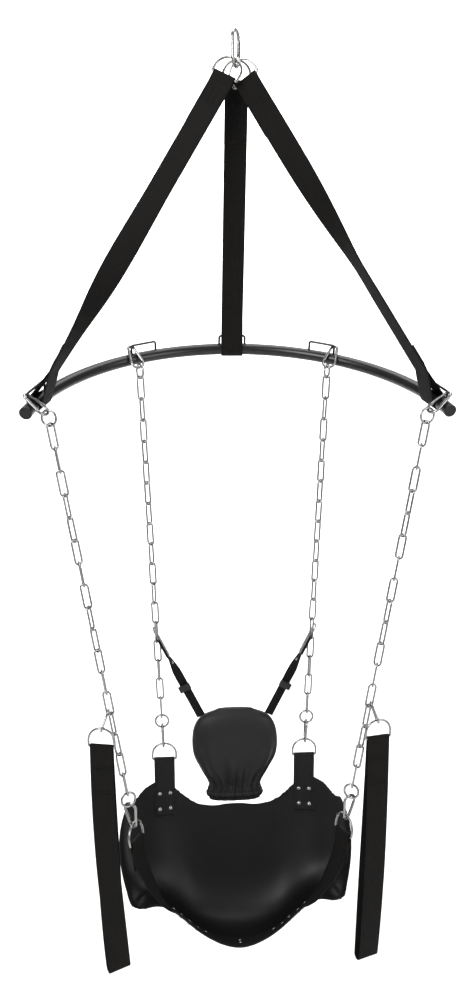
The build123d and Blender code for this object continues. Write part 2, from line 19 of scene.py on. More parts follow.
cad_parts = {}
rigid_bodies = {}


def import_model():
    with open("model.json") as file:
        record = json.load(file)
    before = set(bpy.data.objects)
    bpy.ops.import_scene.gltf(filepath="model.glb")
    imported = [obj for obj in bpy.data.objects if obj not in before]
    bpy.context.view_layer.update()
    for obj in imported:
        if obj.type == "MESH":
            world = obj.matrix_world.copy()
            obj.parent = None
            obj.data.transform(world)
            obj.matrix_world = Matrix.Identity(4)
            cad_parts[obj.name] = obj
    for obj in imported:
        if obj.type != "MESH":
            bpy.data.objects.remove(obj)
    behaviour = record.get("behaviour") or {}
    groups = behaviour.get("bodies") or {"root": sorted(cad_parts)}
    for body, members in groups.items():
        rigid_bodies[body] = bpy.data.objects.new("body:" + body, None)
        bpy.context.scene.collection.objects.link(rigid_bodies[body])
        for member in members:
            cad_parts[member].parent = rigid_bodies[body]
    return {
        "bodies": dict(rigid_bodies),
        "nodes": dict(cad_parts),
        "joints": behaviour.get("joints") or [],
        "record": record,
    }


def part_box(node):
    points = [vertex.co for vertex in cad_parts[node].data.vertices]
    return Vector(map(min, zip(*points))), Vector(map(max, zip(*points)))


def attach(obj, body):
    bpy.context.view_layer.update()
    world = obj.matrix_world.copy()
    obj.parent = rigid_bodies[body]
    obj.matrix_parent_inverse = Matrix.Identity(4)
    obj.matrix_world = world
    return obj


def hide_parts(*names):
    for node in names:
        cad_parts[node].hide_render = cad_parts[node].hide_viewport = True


log = logging.getLogger("sling_seat")

MM = 0.001

# ---- Sizes in millimetres ------------------------------------------------------------------
TUBE_DIA = 25.0
ARC_RADIUS = 410.0
ARC_TILT = 20.0
END_POST_ANGLE = 76.0
END_LOOP_LENGTH = 72.0
LOOP_ROD = 5.0
END_STRAP_SHIFT = 7.0
EYE_LEAN = 0.14
EYE_HEIGHT = 72.0
EYE_TAIL = 52.0

WEB_WIDTH = 47.0
WEB = 2.4
SEWN_GAP = 0.5
FOLD_LENGTH = 110.0
D_WIRE = 5.0
D_HEIGHT = 39.5
TOP_TURN = 65.0
SWING_PIVOT = Vector((0.0, 0.0, -54.9))

PANEL_THICK = 2.5
TAB_WIDTH = 48.0
TAB_LENGTH = 136.0
LEAF = 2.0
LEAF_GAP = 1.2
STRAP_WIDTH = 45.0
FRONT_RING_TURN = 117.0
LEG_TURN = 12.0
LEG_LOOP_DROP = 518.0
LEG_LOOP_OPEN = 22.0
HEAD_WEB = 20.0
STRAP_OFF_RING = 2.5
STITCH = Vector((3.4, 0.9, 0.7))
FRONT_RIVET = Vector((4.6, 4.6, 2.0))

ACROSS = Vector((1, 0, 0))
DOWN = Vector((0, 0, -1))


class Body(str, Enum):
    """Moving bodies of the frame that new pieces ride on."""

    SPREADER = "spreader"
    REAR = "rear_chains"
    SEAT = "seat"
    LEG_RIGHT = "leg_loop_right"
    LEG_LEFT = "leg_loop_left"


class Slot(str, Enum):
    """Material slots of the record."""

    STEEL = "plated_steel"
    PAINT = "bar_paint"
    PLUG = "plug_plastic"
    WEBBING = "webbing"
    PANEL = "panel_leather"
    CUSHION = "cushion_leather"
    TAG = "tag_leather"
    SLIDER = "slider_plastic"


class Grain(Enum):
    """Surface relief of a finish."""

    FINE = "fine"
    WEAVE = "weave"
    LEATHER = "leather"


@dataclass(frozen=True)
class Finish:
    """A procedural finish.

    Args:
        color: Base colour, linear.
        rough: Roughness of the base.
        metal: 1 for bare metal.
        grain: Kind of relief.
        scale: Cells per metre of the relief.
        relief: Depth of the relief in millimetres.
        sheen: How much the surface mirrors, 0.5 for plain plastic.
    """

    color: tuple[float, float, float]
    rough: float
    metal: float
    grain: Grain
    scale: float
    relief: float
    sheen: float


FINISHES = {
    Slot.STEEL: Finish((0.27, 0.27, 0.265), 0.24, 1.0, Grain.FINE, 220.0, 0.03, 0.5),
    Slot.PAINT: Finish((0.004, 0.004, 0.0045), 0.3, 0.0, Grain.FINE, 900.0, 0.05, 0.4),
    Slot.PLUG: Finish((0.005, 0.005, 0.005), 0.5, 0.0, Grain.FINE, 500.0, 0.05, 0.3),
    Slot.WEBBING: Finish((0.0048, 0.0043, 0.004), 0.86, 0.0, Grain.WEAVE, 1.0, 0.35, 0.12),
    Slot.PANEL: Finish((0.0032, 0.0032, 0.0034), 0.46, 0.0, Grain.LEATHER, 620.0, 0.1, 0.2),
    Slot.CUSHION: Finish((0.0085, 0.0085, 0.009), 0.5, 0.0, Grain.LEATHER, 480.0, 0.16, 0.22),
    Slot.TAG: Finish((0.02, 0.02, 0.021), 0.5, 0.0, Grain.LEATHER, 700.0, 0.1, 0.3),
    Slot.SLIDER: Finish((0.004, 0.004, 0.004), 0.42, 0.0, Grain.FINE, 600.0, 0.04, 0.4),
}
WEAVE_ACROSS = 420.0
WEAVE_ALONG = 760.0


# ---- Materials -----------------------------------------------------------------------------
def relief_height(tree: bpy.types.NodeTree, finish: Finish) -> bpy.types.NodeSocket:
    """The height pattern of a finish.

    Args:
        tree: Node tree of the material.
        finish: The finish that is being made.

    Returns:
        The socket that carries the height, 0 to 1.
    """
    nodes, links = tree.nodes, tree.links
    place = nodes.new("ShaderNodeTexCoord")
    if finish.grain is Grain.WEAVE:
        waves = []
        for direction, scale in (("X", WEAVE_ACROSS), ("Y", WEAVE_ALONG)):
            wave = nodes.new("ShaderNodeTexWave")
            wave.bands_direction = direction
            wave.inputs["Scale"].default_value = scale / 6.0
            wave.inputs["Distortion"].default_value = 0.6
            wave.inputs["Detail Scale"].default_value = 3.0
            links.new(place.outputs["UV"], wave.inputs["Vector"])
            waves.append(wave)
        both = nodes.new("ShaderNodeMath")
        both.operation = "MULTIPLY"
        for wave, slot in zip(waves, both.inputs):
            links.new(wave.outputs["Fac"], slot)
        return both.outputs[0]
    if finish.grain is Grain.LEATHER:
        cells = nodes.new("ShaderNodeTexVoronoi")
        cells.feature = "SMOOTH_F1"
        cells.inputs["Scale"].default_value = finish.scale
        links.new(place.outputs["Object"], cells.inputs["Vector"])
        return cells.outputs["Distance"]
    noise = nodes.new("ShaderNodeTexNoise")
    noise.inputs["Scale"].default_value = finish.scale
    noise.inputs["Detail"].default_value = 3.0
    links.new(place.outputs["Object"], noise.inputs["Vector"])
    return noise.outputs["Fac"]


def material(slot: Slot) -> bpy.types.Material:
    """The material of a slot, made the first time it is asked for.

    Args:
        slot: Slot of the record.

    Returns:
        The material.
    """
    if slot.value in bpy.data.materials and "made_here" in bpy.data.materials[slot.value]:
        return bpy.data.materials[slot.value]
    finish = FINISHES[slot]
    made = bpy.data.materials.new(slot.value)
    made.name = slot.value
    made["made_here"] = True
    made.use_nodes = True
    tree = made.node_tree
    shader = tree.nodes["Principled BSDF"]
    shader.inputs["Base Color"].default_value = (*finish.color, 1.0)
    shader.inputs["Metallic"].default_value = finish.metal
    shader.inputs["Specular IOR Level"].default_value = finish.sheen
    height = relief_height(tree, finish)
    bump = tree.nodes.new("ShaderNodeBump")
    bump.inputs["Distance"].default_value = finish.relief * MM
    bump.inputs["Strength"].default_value = 0.7
    tree.links.new(height, bump.inputs["Height"])
    tree.links.new(bump.outputs["Normal"], shader.inputs["Normal"])
    spread = tree.nodes.new("ShaderNodeMapRange")
    spread.inputs["To Min"].default_value = finish.rough - 0.05
    spread.inputs["To Max"].default_value = finish.rough + 0.05
    tree.links.new(height, spread.inputs["Value"])
    tree.links.new(spread.outputs["Result"], shader.inputs["Roughness"])
    return made


# ---- Small geometry helpers ----------------------------------------------------------------
def heading(angle: float) -> Vector:
    """A level direction, from an angle in degrees off +X."""
    return Vector((cos(radians(angle)), sin(radians(angle)), 0.0))


def flipped(v: Vector) -> Vector:
    """The mirror image of a point or direction across the middle."""
    return Vector((-v.x, v.y, v.z))


def smooth(points: np.ndarray, count: int) -> np.ndarray:
    """A smooth run through points, along their first axis.

    Args:
        points: Array whose first axis is the order of the points.
        count: How many points come back.

    Returns:
        The same kind of array, with count rows.
    """
    first, last = 2 * points[0] - points[1], 2 * points[-1] - points[-2]
    p = np.concatenate([first[None], points, last[None]])
    t = np.linspace(0, len(points) - 1, count)
    i = np.clip(t.astype(int), 0, len(points) - 2)
    f = (t - i).reshape(-1, *[1] * (points.ndim - 1))
    a, b, c, d = p[i], p[i + 1], p[i + 2], p[i + 3]
    return 0.5 * (2 * b + (c - a) * f + (2 * a - 5 * b + 4 * c - d) * f**2 + (3 * b - a - 3 * c + d) * f**3)


def round_turn(middle: Vector, u: Vector, w: Vector, radius: float, start: float, end: float) -> list[Vector]:
    """Points on an arc, with angles in degrees from u towards w."""
    angles = np.linspace(radians(start), radians(end), 15)
    return [middle + u * (radius * cos(a)) + w * (radius * sin(a)) for a in angles]


def mesh_object(
    name: str, points: list | np.ndarray, faces: list, uvs: dict | None, slot: Slot
) -> bpy.types.Object:
    """A smooth-shaded piece, made from points in millimetres.

    Args:
        name: Name of the piece.
        points: Places in millimetres.
        faces: Corner numbers of each face.
        uvs: Place on the sheet for each corner, by (face, corner), in metres.
        slot: Slot that the finish comes from.

    Returns:
        The object, linked to the scene.
    """
    mesh = bpy.data.meshes.new(name)
    mesh.from_pydata([tuple(np.array(p) * MM) for p in points], [], faces)
    if uvs:
        layer = mesh.uv_layers.new(name="UVMap")
        for polygon in mesh.polygons:
            for corner, loop in enumerate(polygon.loop_indices):
                layer.data[loop].uv = uvs.get((polygon.index, corner), (0.0, 0.0))
    mesh.shade_smooth()
    mesh.materials.append(material(slot))
    obj = bpy.data.objects.new(name, mesh)
    bpy.context.scene.collection.objects.link(obj)
    return obj


def section(width: float, thick: float) -> list[tuple[float, float]]:
    """Outline of a band with rounded edges, across and out, in order."""
    half, r = width / 2 - thick / 2, thick / 2
    flat = np.linspace(-half, half, 7)
    right = [(half + r * cos(a), r * sin(a)) for a in np.linspace(-pi / 2, pi / 2, 7)[1:-1]]
    left = [(-x, -y) for x, y in right]
    return [(x, -r) for x in flat] + right + [(x, r) for x in flat[::-1]] + left


def band(
    name: str,
    path: list[tuple[Vector, Vector]],
    width: float,
    thick: float,
    slot: Slot,
    closed: bool = False,
) -> bpy.types.Object:
    """A strip with rounded edges along a path.

    Args:
        name: Name of the piece.
        path: (place, direction across the strip), close together.
        width: Width of the strip.
        thick: Thickness of the strip.
        slot: Slot that the finish comes from.
        closed: Whether the end joins the start.

    Returns:
        The object.
    """
    outline = section(width, thick)
    count, ring = len(path), len(outline)
    points, along, run = [], [], 0.0
    for i, (place, across) in enumerate(path):
        after = path[(i + 1) % count] if closed else path[min(i + 1, count - 1)]
        before = path[i - 1] if closed or i else path[0]
        ahead = (after[0] - before[0]).normalized()
        side = (across - ahead * across.dot(ahead)).normalized()
        out = ahead.cross(side)
        run += (place - path[i - 1][0]).length if i else 0.0
        along.append(run)
        points += [place + side * a + out * b for a, b in outline]
    faces, uvs = [], {}
    for i in range(count if closed else count - 1):
        j = (i + 1) % count
        top = along[j] if j else run + (path[0][0] - path[-1][0]).length
        for k in range(ring):
            m = (k + 1) % ring
            corners = [(i, k, along[i]), (i, m, along[i]), (j, m, top), (j, k, top)]
            for corner, (row, column, far) in enumerate(corners):
                uvs[(len(faces), corner)] = (outline[column][0] * MM, far * MM)
            faces.append([row * ring + column for row, column, _ in corners])
    if not closed:
        faces.append(list(range(ring))[::-1])
        faces.append([(count - 1) * ring + k for k in range(ring)])
    return mesh_object(name, points, faces, uvs, slot)


def run_between(stations: list[tuple[Vector, Vector]], step: float = 5.0) -> list[tuple[Vector, Vector]]:
    """A smooth free run of a strip through a few stations."""
    rows = np.array([[*p, *w] for p, w in stations], float)
    length = sum((b[0] - a[0]).length for a, b in zip(stations, stations[1:]))
    dense = smooth(rows, max(4, int(length / step)))
    return [(Vector(r[:3]), Vector(r[3:])) for r in dense]


def fold_over(
    bar: Vector, across: Vector, down: Vector, radius: float, thick: float, tail: float, tail_side: int
) -> list[tuple[Vector, Vector]]:
    """A strip's sewn tail, and its turn over a bar.

    Args:
        bar: Middle of the bar's centre line.
        across: Direction along the bar.
        down: Direction in which the strip hangs.
        radius: Radius of the bar with its gap.
        thick: Thickness of the strip.
        tail: Length of the tail.
        tail_side: 1 or -1, the side of the strip that the tail is on.

    Returns:
        Stations from the end of the tail to where both layers meet.
    """
    out = down.cross(across).normalized() * -tail_side
    turn = radius + thick / 2
    behind = out * (-0.56 * thick)
    meet = down * (turn + 15)
    tail_points = [bar + down * far + behind for far in np.linspace(tail, turn + 15, 12)]
    over = round_turn(bar, out * -1, down * -1, turn, -25, 205)
    points = [*tail_points, *over, bar + meet - behind]
    return [(p, across) for p in points]


# ---- Repeats: rivets and stitches ------------------------------------------------------------
def dome_group(slot: Slot) -> tuple[bpy.types.NodeTree, str]:
    """A node group that puts a flattened dome on every point, turned to its attributes.

    Args:
        slot: Slot that the finish comes from.

    Returns:
        The group, and the identifier of its size input.
    """
    tree = bpy.data.node_groups.new("domes", "GeometryNodeTree")
    face = tree.interface
    face.new_socket("Geometry", in_out="INPUT", socket_type="NodeSocketGeometry")
    size = face.new_socket("Dome Size", in_out="INPUT", socket_type="NodeSocketVector")
    face.new_socket("Geometry", in_out="OUTPUT", socket_type="NodeSocketGeometry")
    nodes, links = tree.nodes, tree.links
    start, end = nodes.new("NodeGroupInput"), nodes.new("NodeGroupOutput")
    ball = nodes.new("GeometryNodeMeshUVSphere")
    ball.inputs["Segments"].default_value = 12
    ball.inputs["Rings"].default_value = 8
    ball.inputs["Radius"].default_value = MM
    place = nodes.new("GeometryNodeInstanceOnPoints")
    turn = None
    for name, axis in (("out", "Z"), ("along", "X")):
        read = nodes.new("GeometryNodeInputNamedAttribute")
        read.data_type = "FLOAT_VECTOR"
        read.inputs["Name"].default_value = name
        aim = nodes.new("FunctionNodeAlignRotationToVector")
        aim.axis = axis
        if turn is not None:
            aim.pivot_axis = "Z"
            links.new(turn, aim.inputs["Rotation"])
        links.new(read.outputs["Attribute"], aim.inputs["Vector"])
        turn = aim.outputs["Rotation"]
    real = nodes.new("GeometryNodeRealizeInstances")
    paint = nodes.new("GeometryNodeSetMaterial")
    paint.inputs["Material"].default_value = material(slot)
    links.new(start.outputs["Geometry"], place.inputs["Points"])
    links.new(ball.outputs["Mesh"], place.inputs["Instance"])
    links.new(turn, place.inputs["Rotation"])
    links.new(start.outputs["Dome Size"], place.inputs["Scale"])
    links.new(place.outputs["Instances"], real.inputs["Geometry"])
    links.new(real.outputs["Geometry"], paint.inputs["Geometry"])
    links.new(paint.outputs["Geometry"], end.inputs["Geometry"])
    return tree, size.identifier


def domes(
    name: str, spots: list[tuple[Vector, Vector, Vector]], size: Vector, slot: Slot, body: Body
) -> bpy.types.Object:
    """Rivet heads or stitches, one on each spot, as one plain mesh.

    Args:
        name: Name of the piece.
        spots: (place, direction along, direction out) for each.
        size: Half sizes along, across and out.
        slot: Slot that the finish comes from.
        body: Body that they ride on.

    Returns:
        The object.
    """
    seed = bpy.data.meshes.new(name)
    seed.from_pydata([tuple(p * MM) for p, _, _ in spots], [], [])
    for label, column in (("along", 1), ("out", 2)):
        values = np.array([s[column].normalized() for s in spots], np.float32)
        seed.attributes.new(label, "FLOAT_VECTOR", "POINT").data.foreach_set("vector", values.ravel())
    source = bpy.data.objects.new(name + "_points", seed)
    bpy.context.scene.collection.objects.link(source)
    tree, size_input = dome_group(slot)
    grow = source.modifiers.new("domes", "NODES")
    grow.node_group = tree
    grow[size_input] = tuple(size)
    depsgraph = bpy.context.evaluated_depsgraph_get()
    plain = bpy.data.meshes.new_from_object(source.evaluated_get(depsgraph))
    bpy.data.objects.remove(source)
    plain.shade_smooth()
    obj = bpy.data.objects.new(name, plain)
    bpy.context.scene.collection.objects.link(obj)
    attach(obj, body.value)
    return obj


def stitch_spots(
    path: list[tuple[Vector, Vector]],
    offset: float,
    lift: float,
    start: float,
    end: float,
    pitch: float = 6.5,
) -> list:
    """Spots for a row of stitches along a strip, on both faces of it.

    Args:
        path: The strip's stations.
        offset: Distance of the row from the middle of the strip.
        lift: Half the thickness of what is sewn.
        start: Where the row starts, from the start of the path.
        end: Where the row ends.
        pitch: Distance from one stitch to the next.

    Returns:
        Spots for domes().
    """
    spots, run, due = [], 0.0, start
    for (a, across), (b, _) in zip(path, path[1:]):
        step = (b - a).length
        ahead = (b - a).normalized()
        side = (across - ahead * across.dot(ahead)).normalized()
        out = ahead.cross(side)
        while due <= min(run + step, end):
            middle = a + ahead * (due - run) + side * offset
            spots += [(middle + out * lift * s, ahead, out * s) for s in (1, -1)]
            due += pitch
        run += step
    return spots


def cross_row(place: Vector, across: Vector, out: Vector, width: float, pitch: float = 5.5) -> list:
    """Spots for a row of stitches across a strip, on one face."""
    count = int(width / pitch)
    return [(place + across * ((i - (count - 1) / 2) * pitch), across, out) for i in range(count)]


# ---- The frame's own pieces ------------------------------------------------------------------
@dataclass
class FrameFinishes:
    """Gives each of the frame's own pieces the finish of its slot."""

    frame: dict

    def apply(self) -> None:
        """Assign the materials."""
        for node in self.frame["nodes"].values():
            slots = [Slot(old.name.split(".")[0]) for old in node.data.materials]
            for index, slot in enumerate(slots):
                node.data.materials[index] = material(slot)


def lowest_bar(frame: dict, node: str, side: int) -> Vector:
    """Middle of the bar of a D-ring that hangs bar down, in millimetres.

    Args:
        node: Node with the ring.
        side: 1 for the ring on the right, -1 for the left one.

    Returns:
        A point on the bar's centre line.
    """
    places = np.array([v.co for v in frame["nodes"][node].data.vertices]) / MM
    places = places[places[:, 0] * side > 0]
    low = places[places[:, 2] < places[:, 2].min() + 1.0]
    middle = (low.min(0) + low.max(0)) / 2
    return Vector((middle[0], middle[1], places[:, 2].min() + D_WIRE / 2))


# ---- Hanger straps -----------------------------------------------------------------------------
@dataclass
class SpreaderArc:
    """Centre line of the curved tube.

    Args:
        middle: Middle of the arc.
    """

    middle: Vector

    @classmethod
    def from_frame(cls) -> "SpreaderArc":
        """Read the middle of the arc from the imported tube."""
        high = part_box("spreader_tube")[1] / MM
        return cls(Vector((0.0, high.y - TUBE_DIA / 2, high.z - TUBE_DIA / 2)))

    @property
    def forward(self) -> Vector:
        """Direction from the middle towards the open front, in the arc's plane."""
        return Vector((0, -cos(radians(ARC_TILT)), -sin(radians(ARC_TILT))))

    def at(self, angle: float) -> Vector:
        """A point on the centre line."""
        a = radians(angle)
        return self.middle + ACROSS * (ARC_RADIUS * sin(a)) + self.forward * (ARC_RADIUS * (1 - cos(a)))

    def inward(self, angle: float) -> Vector:
        """Direction towards the centre of the arc."""
        return self.forward * cos(radians(angle)) - ACROSS * sin(radians(angle))

    def tangent(self, angle: float) -> Vector:
        """Direction along the tube."""
        return ACROSS * cos(radians(angle)) + self.forward * sin(radians(angle))


@dataclass
class HangerStrap:
    """One webbing strap from a D-ring under the top hook to the tube.

    Args:
        side: centre, right or left.
        crown: Where the D-ring's crown sits.
        facing: Direction that the ring's bar tends to.
        angle: Place on the arc.
        turn_start: Share of the run where the strap starts to twist.
        turn_end: Share of the run where the twist is done.
    """

    side: str
    crown: Vector
    facing: Vector
    angle: float
    turn_start: float
    turn_end: float

    def build(self, arc: SpreaderArc) -> None:
        """Make the strap and its stitching."""
        foot, along_tube = arc.at(self.angle), arc.tangent(self.angle)
        down = (foot - self.crown).normalized()
        across = (self.facing - down * self.facing.dot(down)).normalized()
        bar = self.crown + down * D_HEIGHT
        rise = (along_tube * down.dot(along_tube) - down).normalized()
        if self.angle:
            rise = (rise + arc.inward(self.angle) * EYE_LEAN).normalized()
        path = fold_over(bar, across, down, D_WIRE / 2 + SEWN_GAP, WEB, FOLD_LENGTH, 1)
        tail = sum((b[0] - a[0]).length for a, b in zip(path[:11], path[1:12]))
        start, end = path[-1][0], foot + rise * EYE_HEIGHT
        out = down.cross(across)

        def width_at(share: float) -> Vector:
            turned = min(max((share - self.turn_start) / (self.turn_end - self.turn_start), 0), 1)
            return across.lerp(along_tube, turned)

        stations = []
        for share in (0.06, 0.14, 0.26, 0.38, 0.5, 0.62, 0.74, 0.86, 1.0):
            stations.append((start.lerp(end, share) + out * (0.1 * WEB), width_at(share)))
        path += run_between(stations)
        run = start - end
        tails = []
        for far in np.linspace(6, EYE_TAIL, 8):
            wide = width_at(1 - far / run.length)
            behind = wide.cross(run).normalized() * (1.15 * WEB)
            tails.append((end + run.normalized() * far - behind, wide))
        path += self.eye(foot, along_tube, rise, tails)
        strap = band(f"hanger_webbing_{self.side}", path, WEB_WIDTH, WEB, Slot.WEBBING)
        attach(strap, Body.SPREADER.value)
        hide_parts(f"hanger_strap_{self.side}")
        spots = []
        for offset in (-0.42, -0.14, 0.14, 0.42):
            spots += stitch_spots(path, offset * WEB_WIDTH, WEB / 2 + 0.2, 6, tail - 6)
        domes(f"hanger_stitches_{self.side}", spots, STITCH, Slot.WEBBING, Body.SPREADER)

    def eye(
        self, foot: Vector, along_tube: Vector, rise: Vector, tails: list[tuple[Vector, Vector]]
    ) -> list[tuple[Vector, Vector]]:
        """The loop round the tube, ending in the sewn tail.

        Args:
            foot: Place on the tube's centre line.
            along_tube: Direction along the tube.
            rise: Direction from the tube to where the loop's legs meet.
            tails: The tail up the back of the strap, from the loop outwards.

        Returns:
            Centre line and width direction of the loop and the tail.
        """
        side = along_tube.cross(rise).normalized()
        radius = TUBE_DIA / 2 + 0.8 + WEB / 2
        leave = acos(radius / EYE_HEIGHT) * 180 / pi
        around = round_turn(foot, rise, side, radius, leave, 360 - leave)
        apex = foot + rise * (EYE_HEIGHT + 4)
        leg_out = [apex.lerp(around[0], s) for s in (0.25, 0.5, 0.75)]
        leg_back = [around[-1].lerp(tails[0][0], s) for s in (0.25, 0.5, 0.75)]
        return [*[(p, along_tube) for p in [*leg_out, *around, *leg_back]], *tails]


def hanger_straps(arc: SpreaderArc) -> list[HangerStrap]:
    """The three straps, with their rings side by side on the foot of the top hook."""
    line = heading(TOP_TURN)
    end_loop = END_POST_ANGLE - ((END_LOOP_LENGTH - LOOP_ROD) / 2 + END_STRAP_SHIFT) / ARC_RADIUS * 180 / pi

    def crown(offset: float, lift: float) -> Vector:
        return SWING_PIVOT + line * offset + Vector((0, 0, lift))

    return [
        HangerStrap("centre", crown(6.6, 6.8), Vector((0.97, -0.24, 0)), 0.0, 0.2, 1.0),
        HangerStrap("right", crown(0.0, 2.0), Vector((0.8, -0.3, 0.5)), end_loop, 0.2, 0.6),
        HangerStrap("left", crown(-6.6, 6.6), Vector((0.8, -0.3, -0.5)), -end_loop, 0.4, 0.95),
    ]


# ---- Sling panel ---------------------------------------------------------------------------------
RIBS = [
    [(0, -6, 124), (0, 8, 191), (0, 34, 272), (0, 84, 349), (0, 150, 358), (0, 217, 334)],
    [(75, -5, 124), (78, 10, 194), (80, 38, 274), (80, 88, 341), (76, 150, 341), (70, 214, 308)],
    [(160, 0, 58), (160, 12, 136), (158, 42, 226), (155, 87, 291), (150, 147, 284), (145, 200, 250)],
    [(215, 4, 74), (222, 22, 146), (222, 50, 214), (216, 84, 258), (206, 130, 268), (195, 174, 258)],
    [(252, 12, 106), (268, 37, 146), (270, 67, 191), (262, 97, 231), (250, 127, 258), (236, 154, 268)],
]
PANEL_ACROSS = 161
PANEL_ALONG = 101
HEM_WIDTH = 11.0
HEM_THICK = 0.4
FOLD_DEPTH = 1.5


@dataclass
class Crease:
    """A soft fold in the leather, along a line in the sheet's own shares (0 to 1).

    Args:
        start: Share across and share from rear to front where it starts.
        end: Where it dies out.
        depth: Height of the fold in millimetres, negative for a valley.
        spread: Half width of the fold, in shares.
    """

    start: tuple[float, float]
    end: tuple[float, float]
    depth: float
    spread: float

    def height(self, u: float, v: float) -> float:
        """Height of the fold at a place on the sheet."""
        dx, dy = self.end[0] - self.start[0], self.end[1] - self.start[1]
        length = hypot(dx, dy)
        t = ((u - self.start[0]) * dx + (v - self.start[1]) * dy) / length**2
        away = abs((u - self.start[0]) * dy - (v - self.start[1]) * dx) / length
        fade = max(0.0, 1 - abs(2 * t - 1) ** 3) if 0 <= t <= 1 else 0.0
        return self.depth * fade * exp(-((away / self.spread) ** 2))


CREASES = [
    Crease((0.0, 1.0), (0.17, 0.66), -2.6, 0.02),
    Crease((1.0, 1.0), (0.85, 0.68), -2.2, 0.02),
    Crease((0.05, 0.5), (0.2, 0.9), 1.3, 0.04),
    Crease((0.95, 0.52), (0.8, 0.9), 1.2, 0.04),
    Crease((0.2, 0.16), (0.34, 0.5), 0.8, 0.05),
    Crease((0.8, 0.16), (0.66, 0.5), 0.8, 0.05),
]


